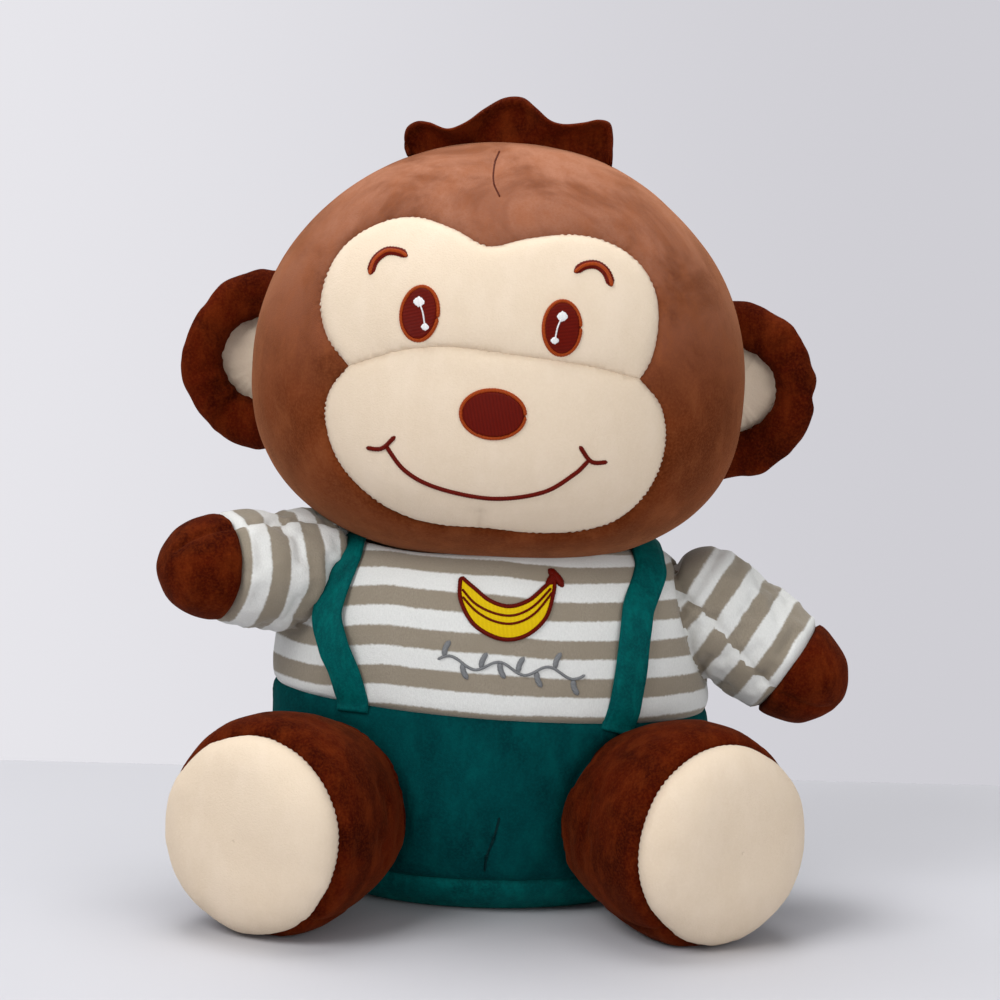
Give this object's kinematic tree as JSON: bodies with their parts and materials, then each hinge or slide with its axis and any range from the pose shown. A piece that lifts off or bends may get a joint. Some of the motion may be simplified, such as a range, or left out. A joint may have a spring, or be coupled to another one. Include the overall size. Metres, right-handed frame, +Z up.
{
  "type": "stuffed monkey",
  "caption": "Seated stuffed toy monkey with a smiling stitched face, round ears and a hair tuft, in a striped shirt and strapped trousers with a stitched banana on the chest.",
  "frame": {"origin": "middle of the bounding box's underside, on the plane that the toy sits on", "axes": "+Z up, the toy faces -Y, +X is the toy's left"},
  "size_m": [0.2436, 0.1548, 0.2845],
  "materials": {
    "brown_plush": "short crushed plush pile, rust brown",
    "cream_plush": "short plush pile, cream",
    "striped_plush": "short plush pile, off-white with warm grey stripes",
    "teal_plush": "short plush pile, teal, lighter where it is seen edge on",
    "brown_thread": "satin stitch, glossy dark brown",
    "amber_thread": "satin stitch, amber brown",
    "white_thread": "satin stitch, white",
    "yellow_thread": "fill stitch, yellow",
    "grey_thread": "satin stitch, warm grey",
    "polyester_filling": "white loose fibre, hidden"
  },
  "bodies": {
    "torso": {"torso_filling": "polyester_filling", "shirt_front": "striped_plush", "shirt_back": "striped_plush", "trousers_front": "teal_plush", "trousers_back": "teal_plush", "seat_panel": "teal_plush", "strap_left": "teal_plush", "strap_right": "teal_plush", "banana_fruit": "yellow_thread", "banana_outline": "brown_thread", "chest_vine": "grey_thread"},
    "neck": {"neck_filling": "polyester_filling"},
    "head": {"head_filling": "polyester_filling", "head_front": "brown_plush", "head_back_left": "brown_plush", "head_back_right": "brown_plush", "brow_patch": "cream_plush", "muzzle_patch": "cream_plush", "nose": "brown_thread", "nose_rim": "amber_thread", "mouth": "brown_thread", "eye_left": "brown_thread", "eye_right": "brown_thread", "eye_rim_left": "amber_thread", "eye_rim_right": "amber_thread", "eye_highlight_left": "white_thread", "eye_highlight_right": "white_thread", "eyebrow_left": "brown_thread", "eyebrow_right": "brown_thread"},
    "tuft": {"tuft_front": "brown_plush", "tuft_back": "brown_plush"},
    "ear_left": {"ear_filling_left": "polyester_filling", "ear_back_left": "brown_plush", "ear_front_left": "brown_plush", "ear_patch_left": "cream_plush"},
    "ear_right": {"ear_filling_right": "polyester_filling", "ear_back_right": "brown_plush", "ear_front_right": "brown_plush", "ear_patch_right": "cream_plush"},
    "arm_left": {"arm_filling_left": "polyester_filling", "sleeve_left": "striped_plush", "paw_left": "brown_plush"},
    "arm_right": {"arm_filling_right": "polyester_filling", "sleeve_right": "striped_plush", "paw_right": "brown_plush"},
    "leg_left": {"leg_filling_left": "polyester_filling", "leg_skin_left": "brown_plush", "sole_left": "cream_plush"},
    "leg_right": {"leg_filling_right": "polyester_filling", "leg_skin_right": "brown_plush", "sole_right": "cream_plush"}
  },
  "joints": [
    {"name": "head_turn", "type": "hinge", "parent": "torso", "child": "neck", "pos_m": [-0.00406, 0.01635, 0.123], "axis": [0, 0, 1], "range_deg": [-20, 20], "stiffness_Nm_per_rad": 0.5},
    {"name": "head_nod", "type": "hinge", "parent": "neck", "child": "head", "pos_m": [-0.00406, 0.01635, 0.123], "axis": [1, 0, 0], "range_deg": [-6, 6], "stiffness_Nm_per_rad": 2},
    {"name": "arm_left_raise", "type": "hinge", "parent": "torso", "child": "arm_left", "pos_m": [0.07244, 0.01495, 0.1044], "axis": [-0.1219, -0.9925, 0], "range_deg": [-3, 45], "stiffness_Nm_per_rad": 0.15},
    {"name": "arm_right_raise", "type": "hinge", "parent": "torso", "child": "arm_right", "pos_m": [-0.07136, 0.00975, 0.1154], "axis": [-0.515, 0.8572, 0], "range_deg": [-20, 20], "stiffness_Nm_per_rad": 0.15},
    {"name": "leg_left_spread", "type": "hinge", "parent": "torso", "child": "leg_left", "pos_m": [0.04494, -0.01265, 0.0353], "axis": [0, 0, 1], "range_deg": [-10, 12], "stiffness_Nm_per_rad": 0.5},
    {"name": "leg_right_spread", "type": "hinge", "parent": "torso", "child": "leg_right", "pos_m": [-0.05906, -0.01265, 0.0353], "axis": [0, 0, -1], "range_deg": [-10, 12], "stiffness_Nm_per_rad": 0.5},
    {"name": "ear_left_fold", "type": "hinge", "parent": "head", "child": "ear_left", "pos_m": [0.08224, 0.01879, 0.18311], "axis": [-0.0331, 0.0017, -0.9995], "range_deg": [-12, 20], "stiffness_Nm_per_rad": 0.05},
    {"name": "ear_right_fold", "type": "hinge", "parent": "head", "child": "ear_right", "pos_m": [-0.09142, 0.02789, 0.18888], "axis": [0.0331, -0.0017, 0.9995], "range_deg": [-12, 20], "stiffness_Nm_per_rad": 0.05},
    {"name": "tuft_fold", "type": "hinge", "parent": "head", "child": "tuft", "pos_m": [-0.00211, 0.0187, 0.26795], "axis": [0.9981, -0.0523, -0.0332], "range_deg": [-10, 10], "stiffness_Nm_per_rad": 0.02}
  ]
}
